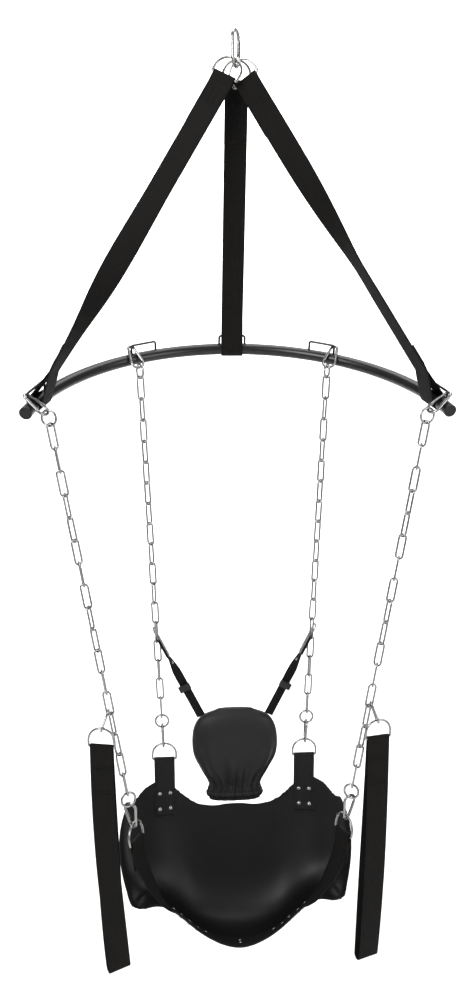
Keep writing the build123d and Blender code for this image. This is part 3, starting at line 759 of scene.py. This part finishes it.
@dataclass
class SlingPanel:
    """The leather sheet that is sat on, hung at its rear corners and along its front edge."""

    frame: dict

    def __post_init__(self) -> None:
        node = self.frame["nodes"]["sling_panel"].data
        places = [v.co.copy() for v in node.vertices]
        self.surface = BVHTree.FromPolygons(places, [p.vertices[:] for p in node.polygons])
        self.rear_bar = lowest_bar(self.frame, "rear_seat_rings", 1)

    def faces_at(self, x: float, z: float) -> tuple[float, float]:
        """Front and rear Y of the back wall where a level line crosses it."""
        start = Vector((x, self.rear_bar.y + 60, z)) * MM
        first = self.surface.ray_cast(start, Vector((0, -1, 0)))[0]
        second = self.surface.ray_cast(first + Vector((0, -1e-5, 0)), Vector((0, -1, 0)))[0]
        return second.y / MM, first.y / MM

    def middle_sheet(self) -> np.ndarray:
        """Middle surface of the sheet as a grid, across by along, in millimetres."""
        sides = [[(-x, f, d) for x, f, d in rib] for rib in RIBS[:0:-1]] + RIBS
        rough = np.array(sides, float)
        rough = np.stack(
            [rough[..., 0], self.rear_bar.y - rough[..., 1], self.rear_bar.z - rough[..., 2]], -1
        )
        grid = smooth(rough, PANEL_ACROSS)
        grid = smooth(grid.transpose(1, 0, 2), PANEL_ALONG).transpose(1, 0, 2)
        for i in range(PANEL_ACROSS):
            for j in range(PANEL_ALONG):
                near, normal, _, _ = self.surface.find_nearest(Vector(grid[i, j]) * MM)
                grid[i, j] = near / MM - normal * (PANEL_THICK / 2)
        return grid

    def build(self) -> None:
        """Make the panel, its hem stitches and the sheet's record."""
        grid = self.middle_sheet()
        du, dv = np.gradient(grid, axis=0), np.gradient(grid, axis=1)
        normal = np.cross(du, dv)
        normal /= np.linalg.norm(normal, axis=2, keepdims=True)
        us, vs = np.linspace(0, 1, PANEL_ACROSS), np.linspace(0, 1, PANEL_ALONG)
        thick = np.full(grid.shape[:2], PANEL_THICK)
        for i, u in enumerate(us):
            for j, v in enumerate(vs):
                rim = min(u * 560, (1 - u) * 560, v * 420, (1 - v) * 420)
                calm = min(1.0, rim / 30) * (0.0 if abs(abs(u - 0.5) - 0.3) < 0.06 and v < 0.17 else 1.0)
                lift = sum(c.height(u, v) for c in CREASES) * FOLD_DEPTH * calm
                grid[i, j] += normal[i, j] * lift
                if rim < HEM_WIDTH and v > 0.2:
                    thick[i, j] += HEM_THICK * min(1.0, (HEM_WIDTH - rim) / 2.5)
        self.grid, self.normal = grid, normal * np.sign(normal[PANEL_ACROSS // 2, PANEL_ALONG // 2, 2])
        obj = self.shell(grid, normal, thick)
        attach(obj, Body.SEAT.value)
        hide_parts("sling_panel")
        steps = np.linalg.norm(np.cross(du, dv), axis=2).sum()
        log.info("panel area %.4f m2", steps * MM * MM)
        self.hem(grid, normal)

    def shell(self, grid: np.ndarray, normal: np.ndarray, thick: np.ndarray) -> bpy.types.Object:
        """A closed sheet with rounded rims, from its middle surface."""
        nu, nv = thick.shape
        top = grid + normal * thick[..., None] / 2
        bottom = grid - normal * thick[..., None] / 2
        points = [*top.reshape(-1, 3), *bottom.reshape(-1, 3)]
        base = nu * nv

        def number(i: int, j: int) -> int:
            return i * nv + j

        rim = [(i, 0) for i in range(nu)] + [(nu - 1, j) for j in range(1, nv)]
        rim += [(i, nv - 1) for i in range(nu - 2, -1, -1)] + [(0, j) for j in range(nv - 2, 0, -1)]
        for i, j in rim:
            inner = grid[min(max(i, 1), nu - 2), min(max(j, 1), nv - 2)]
            out = grid[i, j] - inner
            points.append(grid[i, j] + out / np.linalg.norm(out) * thick[i, j] * 0.45)
        faces, uvs = [], {}
        for i in range(nu - 1):
            for j in range(nv - 1):
                corners = [(i, j), (i + 1, j), (i + 1, j + 1), (i, j + 1)]
                for layer, order in ((0, corners), (base, corners[::-1])):
                    for c, (a, b) in enumerate(order):
                        uvs[(len(faces), c)] = (a / nu * 0.56, b / nv * 0.42)
                    faces.append([layer + number(a, b) for a, b in order])
        first = 2 * base
        for k, (i, j) in enumerate(rim):
            m = (k + 1) % len(rim)
            a, b = number(i, j), number(*rim[m])
            faces.append([b, a, first + k, first + m])
            faces.append([first + m, first + k, base + a, base + b])
        return mesh_object("sling_leather", points, faces, uvs, Slot.PANEL)

    def hem(self, grid: np.ndarray, normal: np.ndarray) -> None:
        """Two rows of stitches round the free edges, on both faces."""
        nu, nv = normal.shape[:2]
        spots = []
        for inset in (2, 4):
            side = range(int(nv * 0.22), nv - inset)
            rows = [[(inset, j) for j in side], [(nu - 1 - inset, j) for j in side]]
            rows.append([(i, nv - 1 - inset) for i in range(inset, nu - inset)])
            for row in rows:
                line = np.array([[*grid[i, j], *normal[i, j]] for i, j in row])
                length = np.linalg.norm(np.diff(line[:, :3], axis=0), axis=1).sum()
                dense = smooth(line, int(length / 6.5))
                for a, b in zip(dense, dense[1:]):
                    ahead, out = Vector(b[:3] - a[:3]), Vector(a[3:]).normalized()
                    lift = out * (PANEL_THICK / 2 + HEM_THICK / 2)
                    spots += [(Vector(a[:3]) + lift * s, ahead, out * s) for s in (1, -1)]
        domes("panel_stitches", spots, STITCH, Slot.PANEL, Body.SEAT)


@dataclass
class RearTab:
    """Leather folded over a rear D-ring's bar, one leaf on each side of the panel."""

    panel: SlingPanel
    side: int

    def build(self) -> bpy.types.Object:
        """Make the tab."""
        bar = self.panel.rear_bar
        clear = LEAF_GAP + LEAF / 2
        front = [(bar + Vector((0, -(PANEL_THICK / 2 + clear + 0.6), -50)), ACROSS)]
        rear = [(bar + Vector((0, PANEL_THICK / 2 + clear + 0.6, -50)), ACROSS)]
        for drop in np.linspace(80, TAB_LENGTH, 7):
            (f1, r1), (f2, _) = [self.panel.faces_at(bar.x + dx, bar.z - drop) for dx in (-12, 18)]
            slope = Vector((30, f2 - f1, 0)).normalized()
            middle = f1 + (f2 - f1) * 0.4
            front.append((Vector((bar.x, middle - clear, bar.z - drop)), slope))
            rear.append((Vector((bar.x, middle + r1 - f1 + clear, bar.z - drop)), slope))
        turn = D_WIRE / 2 + SEWN_GAP + LEAF / 2
        over = round_turn(bar, Vector((0, -1, 0)), Vector((0, 0, 1)), turn, -20, 200)
        path = run_between(front[::-1], 4) + [(p, ACROSS) for p in over] + run_between(rear, 4)
        if self.side < 0:
            path = [(flipped(p), flipped(w)) for p, w in path]
        name = "right" if self.side > 0 else "left"
        tab = band(f"rear_tab_{name}", path, TAB_WIDTH, LEAF, Slot.PANEL)
        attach(tab, Body.SEAT.value)
        length = TAB_LENGTH - 6
        spots = []
        for offset in (-TAB_WIDTH / 2 + 4, TAB_WIDTH / 2 - 4):
            spots += stitch_spots(path, offset, LEAF / 2, 4, length - 34, 5.5)
        domes(f"rear_tab_stitches_{name}", spots, STITCH * 0.85, Slot.PANEL, Body.SEAT)
        return tab


# ---- Front strap -----------------------------------------------------------------------------------
FREE_RUN = [(-3, 0, -30, 0.0), (-11, 1, -62, 0.15), (-27, 3, -104, 0.4), (-47, 9, -146, 0.75)]
LAND_SHARES = (0.765, 0.74, 0.71, 0.68, 0.64, 0.6, 0.55, 0.5)
STRAP_INSET = 25.0
RIVET_PLACES = ((0.5, -7), (0.5, 8), (0.63, 9), (0.66, -2), (0.69, 8), (0.72, -6), (0.75, 6))


@dataclass
class FrontStrap:
    """Webbing from one front D-ring, along the front rim of the panel, to the other."""

    frame: dict
    panel: SlingPanel

    def on_rim(self, share: float, inset: float, lift: float) -> tuple[Vector, Vector, Vector]:
        """A place on the top face near the front rim.

        Args:
            share: Share of the way across the panel.
            inset: Distance inside the rim.
            lift: Distance off the middle of the leather.

        Returns:
            The place, the direction towards the rear and the direction out of the top face.
        """
        column = round(share * (PANEL_ACROSS - 1))
        line = self.panel.grid[column, ::-1]
        far = np.concatenate([[0.0], np.cumsum(np.linalg.norm(np.diff(line, axis=0), axis=1))])
        row = int(np.searchsorted(far, inset))
        out = Vector(self.panel.normal[column, PANEL_ALONG - 1 - row])
        back = Vector(line[row + 2] - line[max(row - 2, 0)]).normalized()
        return Vector(line[row]) + out * lift, back, out

    def build(self) -> None:
        """Make the strap, its stitches and the rivets through it."""
        bar = lowest_bar(self.frame, "front_seat_rings", 1)
        level = heading(FRONT_RING_TURN)
        down = Vector((-0.1, 0, -0.99)).normalized()
        fold = fold_over(bar, level, down, D_WIRE / 2 + SEWN_GAP, WEB, 60, 1)
        lift = PANEL_THICK / 2 + WEB / 2 + 0.5
        landed = [self.on_rim(share, STRAP_INSET, lift)[:2] for share in LAND_SHARES]
        free = [(bar + Vector((dx, dy, dz)), level.lerp(landed[0][1], turn)) for dx, dy, dz, turn in FREE_RUN]
        half = free + landed
        other = [(flipped(p), Vector((-w.x, w.y, w.z))) for p, w in half[-2::-1]]
        path = fold + run_between(half + other) + [(flipped(p), flipped(w)) for p, w in fold[::-1]]
        strap = band("front_webbing", path, STRAP_WIDTH, WEB, Slot.WEBBING)
        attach(strap, Body.SEAT.value)
        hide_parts("front_strap")
        spots = []
        for offset in (-0.42, 0.42):
            spots += stitch_spots(path, offset * STRAP_WIDTH, WEB / 2 + 0.1, 6, 1e6)
        domes("front_stitches", spots, STITCH, Slot.WEBBING, Body.SEAT)
        rivets = []
        for share, shift in RIVET_PLACES:
            for mirror in {share, 1 - share}:
                for side in (1, -1):
                    place, _, out = self.on_rim(mirror, STRAP_INSET + shift, 0.0)
                    off = PANEL_THICK / 2 + (WEB + 0.7 if side > 0 else 0.2)
                    rivets.append((place + out * off * side, ACROSS, out * side))
        domes("front_rivets", rivets, FRONT_RIVET, Slot.STEEL, Body.SEAT)


# ---- Head cushion and its straps ----------------------------------------------------------------------
CUSHION = [(-120, 44, 8), (-104, 78, 20), (-78, 95, 28), (-44, 100, 31), (-8, 95, 31), (30, 76, 27),
           (66, 58, 20), (90, 66, 20), (106, 60, 13)]
WAIST = 66.0
COLLAR_SEAMS = (84.0, 102.0)
CUSHION_ROWS = 96
CUSHION_STEPS = 144
PLEATS = ((19, 0.4, 1.0), (29, 2.1, 0.7), (41, 4.0, 0.45))


@dataclass
class HeadCushion:
    """Stuffed leather cushion, gathered to a waist above a sewn collar."""

    rear_bar: Vector

    def pleat(self, angle: float, drop: float) -> float:
        """How far the gathers lift the leather, in millimetres."""
        near = exp(-(((drop - WAIST) / 34) ** 2))
        wide = exp(-(((drop - WAIST + 50) / 60) ** 2))
        fine = sum(size * cos(count * angle + shift) for count, shift, size in PLEATS)
        broad = cos(9 * angle + 1.1 + drop * 0.012) + 0.6 * cos(13 * angle + 3.0 - drop * 0.01)
        seam = sum(exp(-(((drop - at) / 2.2) ** 2)) for at in COLLAR_SEAMS)
        return 2.3 * near * fine + 2.2 * wide * broad - 2.0 * seam

    def build(self) -> None:
        """Make the cushion."""
        rows = smooth(np.array(CUSHION, float), CUSHION_ROWS)
        rows[:, 1:] = np.maximum(rows[:, 1:], 6.0)
        ends = [(rows[0], -1), (rows[-1], 1)]
        caps = [
            [
                (r[0] + sign * rise, r[1] * keep, r[2] * keep)
                for keep, rise in ((0.92, 2.0), (0.7, 3.4), (0.4, 4.2))
            ]
            for r, sign in ends
        ]
        rows = [*caps[0][::-1], *[tuple(r) for r in rows], *caps[1]]
        points, faces, uvs = [], [], {}
        for drop, hx, hy in rows:
            for k in range(CUSHION_STEPS):
                a = 2 * pi * k / CUSHION_STEPS
                c, s = cos(a), sin(a)
                square = (abs(c) ** 2.5 + abs(s) ** 2.5) ** (-1 / 2.5)
                lift = self.pleat(a, drop) * min(1.0, hy / 18)
                x, y = (hx + lift) * c * square, (hy + lift) * s * square
                points.append((x, self.rear_bar.y + 1 + y, self.rear_bar.z - drop))
        count, ring = len(rows), CUSHION_STEPS
        for i in range(count - 1):
            for k in range(ring):
                m = (k + 1) % ring
                corners = [(i, k), (i + 1, k), (i + 1, m), (i, m)]
                for corner, (row, column) in enumerate(corners):
                    uvs[(len(faces), corner)] = (column / ring * 0.5, rows[row][0] * MM)
                faces.append([row * ring + column for row, column in corners])
        for row, order in ((0, 1), (count - 1, -1)):
            middle = np.mean(points[row * ring:(row + 1) * ring], axis=0)
            points.append(tuple(middle))
            for k in range(ring):
                pair = [row * ring + k, row * ring + (k + 1) % ring][::order]
                faces.append([len(points) - 1, *pair])
        obj = mesh_object("head_cushion_leather", points, faces, uvs, Slot.CUSHION)
        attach(obj, Body.REAR.value)
        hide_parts("head_cushion")


@dataclass
class HeadStrap:
    """Narrow strap from a rear chain to a top corner of the cushion.

    Args:
        ring_foot: Lowest point of the snap ring's wire.
        corner: Top corner of the cushion.
        side: 1 for the right, -1 for the left.
    """

    ring_foot: Vector
    corner: Vector
    side: int

    TAG_END: float = 54.0
    TAG_WIDTH: float = 22.0
    THICK: float = 1.8

    def place(self, far: float, turn: float, lift: float = 0.0) -> tuple[Vector, Vector]:
        """A station at a distance from the ring, with a share of the quarter turn."""
        run = (self.corner - self.ring_foot).normalized()
        face_on = Vector((0, 1, 0)).cross(run).normalized()
        across = Vector((0, 1, 0)).lerp(face_on, turn)
        out = run.cross(across).normalized()
        point, width = self.ring_foot + run * far + out * lift, across
        return (point, width) if self.side > 0 else (flipped(point), flipped(width))

    def build(self) -> None:
        """Make the strap, its doubled part and the leather tag."""
        total = (self.corner - self.ring_foot).length
        slide = 0.62 * total
        side = "right" if self.side > 0 else "left"

        def turned(far: float) -> float:
            return min(max((far - self.TAG_END) / 64, 0), 1)

        long = [
            self.place(far, turned(far), -0.9 if far < slide else 0.0)
            for far in np.linspace(10, total, 48)
        ]
        short = [self.place(far, turned(far), 0.95) for far in np.linspace(10, slide, 30)]
        straps = [band(f"head_webbing_{side}", long, HEAD_WEB, self.THICK - 0.1, Slot.WEBBING),
                  band(f"head_webbing_tail_{side}", short, HEAD_WEB, self.THICK - 0.1, Slot.WEBBING)]
        turn = 3.5 / 2 + 0.7
        over = [
            self.place(turn * -cos(a), 0.0, turn * sin(a))
            for a in np.linspace(-pi / 2 + 0.3, pi / 2 - 0.3, 9)
        ]
        front = [self.place(far, 0.0, -2.6) for far in np.linspace(self.TAG_END - 2, 7, 10)]
        back = [self.place(far, 0.0, 2.6) for far in np.linspace(7, self.TAG_END - 2, 10)]
        tag = band(f"head_tag_{side}", [*front, *over, *back], self.TAG_WIDTH, 1.1, Slot.TAG)
        for obj in (*straps, tag):
            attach(obj, Body.REAR.value)
        studs = []
        for far, lift in ((38.0, 3.2), (70.0, 2.0)):
            for face in (-1, 1):
                place, width = self.place(far, turned(far), face * lift)
                middle, _ = self.place(far, turned(far), 0.0)
                studs.append((place, width, (place - middle)))
        domes(f"head_studs_{side}", studs, Vector((3.6, 3.6, 1.5)), Slot.STEEL, Body.REAR)
        self.made = (straps, tag)


def head_straps(frame: dict, rear_bar: Vector) -> None:
    """Both head straps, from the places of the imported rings."""
    for side in (1, -1):
        places = np.array([v.co for v in frame["nodes"]["head_strap_rings"].data.vertices]) / MM
        places = places[places[:, 0] > 0]
        centre = Vector((places.min(0) + places.max(0)) / 2)
        corner = Vector((78.0, rear_bar.y - 13.0, rear_bar.z + 112))
        run = (corner - centre).normalized()
        foot = centre + run * 11.75 - Vector((0, STRAP_OFF_RING, 0))
        strap = HeadStrap(foot, corner, side)
        strap.build()
    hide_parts("head_straps")
    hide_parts("head_strap_tags")


# ---- Leg loops ---------------------------------------------------------------------------------------------
@dataclass
class LegLoop:
    """A closed loop of webbing that hangs from a D-ring.

    Args:
        bar: Middle of the D-ring's bar.
        side: 1 for the right, -1 for the left.
    """

    bar: Vector
    side: int

    def hang(self, depth: float, gap: float) -> tuple[Vector, Vector]:
        """A station of the loop: it turns and sways a little on its way down.

        Args:
            depth: Distance below the bar.
            gap: Distance off the middle of the loop, towards its far leg.

        Returns:
            The place and the direction across the strap.
        """
        share = max(depth, 0.0) / LEG_LOOP_DROP
        turn, sway = (8.0, -10.0) if self.side > 0 else (40.0, 20.0)
        across = heading(LEG_TURN * self.side + turn * share**1.5)
        out = DOWN.cross(across).normalized()
        return self.bar + DOWN * depth + ACROSS * (sway * share**2) + out * gap, across

    def build(self) -> None:
        """Make the loop and the stitching that closes it."""
        top = D_WIRE / 2 + SEWN_GAP + WEB / 2
        depths = np.array([0.0, 60.0, 140.0, 220.0, 300.0, 390.0, 460.0, LEG_LOOP_DROP - 9])
        gaps = np.array([top, top + 2.0, 7.6 + WEB / 2, 9.8 + WEB / 2, LEG_LOOP_OPEN / 2 + WEB / 2,
                         10.6 + WEB / 2, 9.4 + WEB / 2, 8 + WEB / 2])
        wall = smooth(np.stack([depths, gaps], 1), 90)[1:]
        over = [self.hang(-top * sin(a), top * cos(a)) for a in np.linspace(pi, 0, 15)]
        radius = 8 + WEB / 2
        foot = [
            self.hang(LEG_LOOP_DROP - 9 + radius * sin(a), radius * cos(a))
            for a in np.linspace(0, pi, 15)[1:-1]
        ]
        path = [*over, *[self.hang(d, g) for d, g in wall], *foot, *[self.hang(d, -g) for d, g in wall[::-1]]]
        name = "right" if self.side > 0 else "left"
        body = Body.LEG_RIGHT if self.side > 0 else Body.LEG_LEFT
        loop = band(f"leg_webbing_{name}", path, WEB_WIDTH + 1, WEB, Slot.WEBBING, closed=True)
        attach(loop, body.value)
        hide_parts(f"leg_strap_{name}")
        spots = []
        for depth in (42.0, 48.0, 96.0, 102.0):
            gap = float(np.interp(depth, depths, gaps)) + WEB / 2 + 0.1
            for face in (1, -1):
                middle, across = self.hang(depth, gap * face)
                spots += cross_row(middle, across, DOWN.cross(across) * face, WEB_WIDTH - 6)
        domes(f"leg_stitches_{name}", spots, STITCH, Slot.WEBBING, body)


# ---- Studio --------------------------------------------------------------------------------
@dataclass
class Studio:
    """Pale floor and wall, soft lights and the camera.

    Args:
        floor: Height of the floor.
        wall: Distance of the wall, further out than the camera of any view.
        bend: Radius of the bend between floor and wall.
        reach: How far the floor runs to each side and forward.
        top: Height of the wall's top.
    """

    floor: float = -2.35
    wall: float = 6.8
    bend: float = 1.2
    reach: float = 12.0
    top: float = 8.0

    def build(self) -> None:
        """Make the studio."""
        scene = bpy.context.scene
        foot = self.wall - self.bend
        profile = [(-self.reach, self.floor), (foot, self.floor)]
        for a in np.linspace(0, pi / 2, 12)[1:]:
            profile.append((foot + self.bend * sin(a), self.floor + self.bend * (1 - cos(a))))
        profile.append((self.wall, self.top))
        points = [(x, y, z) for x in (-self.reach, self.reach) for y, z in profile]
        n = len(profile)
        faces = [[i, i + 1, n + i + 1, n + i][::-1] for i in range(n - 1)]
        mesh = bpy.data.meshes.new("floor")
        mesh.from_pydata(points, [], faces)
        mesh.shade_smooth()
        pale = bpy.data.materials.new("floor")
        pale.use_nodes = True
        shader = pale.node_tree.nodes["Principled BSDF"]
        shader.inputs["Base Color"].default_value = (0.93, 0.93, 0.93, 1)
        shader.inputs["Roughness"].default_value = 0.9
        mesh.materials.append(pale)
        floor = bpy.data.objects.new("floor", mesh)
        scene.collection.objects.link(floor)
        world = bpy.data.worlds.new("studio")
        world.use_nodes = True
        world.node_tree.nodes["Background"].inputs["Color"].default_value = (1, 1, 1, 1)
        world.node_tree.nodes["Background"].inputs["Strength"].default_value = 0.4
        scene.world = world
        scene.view_settings.view_transform = "Standard"
        self.light("key", (-1.8, -2.4, 0.6), 95, 1.6)
        self.light("fill", (2.2, -2.0, -0.4), 45, 1.8)
        self.light("top", (0.3, 0.2, 1.6), 60, 2.0)
        self.light("wall", (0.0, 3.8, 2.2), 614, 4.9, aim=(0.0, self.wall, -1.0))
        self.camera()

    def light(
        self, name: str, place: tuple, power: float, size: float, aim: tuple = (0.0, 0.0, -1.1)
    ) -> None:
        """A square soft light."""
        lamp = bpy.data.lights.new(name, "AREA")
        lamp.energy = power
        lamp.size = size
        obj = bpy.data.objects.new(name, lamp)
        obj.location = place
        obj.rotation_euler = (Vector(aim) - Vector(place)).to_track_quat("-Z", "Y").to_euler()
        obj.visible_camera = False
        bpy.context.scene.collection.objects.link(obj)

    def camera(self) -> None:
        """The camera, a little above the middle and slightly to the left."""
        lens = bpy.data.cameras.new("camera")
        lens.sensor_fit = "VERTICAL"
        lens.sensor_height = 36.0
        lens.lens = 29.38
        lens.shift_x = -0.0026
        obj = bpy.data.objects.new("camera", lens)
        obj.location = (-0.1088, -1.7073, -0.577)
        obj.rotation_euler = (radians(78.8), 0.0, radians(-3.9))
        bpy.context.scene.collection.objects.link(obj)
        bpy.context.scene.camera = obj


def write_size() -> None:
    """Update the view layer so that all placements are current."""
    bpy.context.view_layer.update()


def main() -> None:
    """Build everything around the frame."""
    logging.basicConfig(level=logging.INFO)
    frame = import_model()
    write_size()
    FrameFinishes(frame).apply()
    arc = SpreaderArc.from_frame()
    for strap in hanger_straps(arc):
        strap.build(arc)
    panel = SlingPanel(frame)
    panel.build()
    tabs = [RearTab(panel, side).build() for side in (1, -1)]
    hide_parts("rear_tabs")
    FrontStrap(frame, panel).build()
    HeadCushion(panel.rear_bar).build()
    head_straps(frame, panel.rear_bar)
    for side, name in ((1, "right"), (-1, "left")):
        LegLoop(lowest_bar(frame, f"leg_ring_{name}", side), side).build()
    Studio().build()
    write_size()


if __name__ == "__main__":
    main()
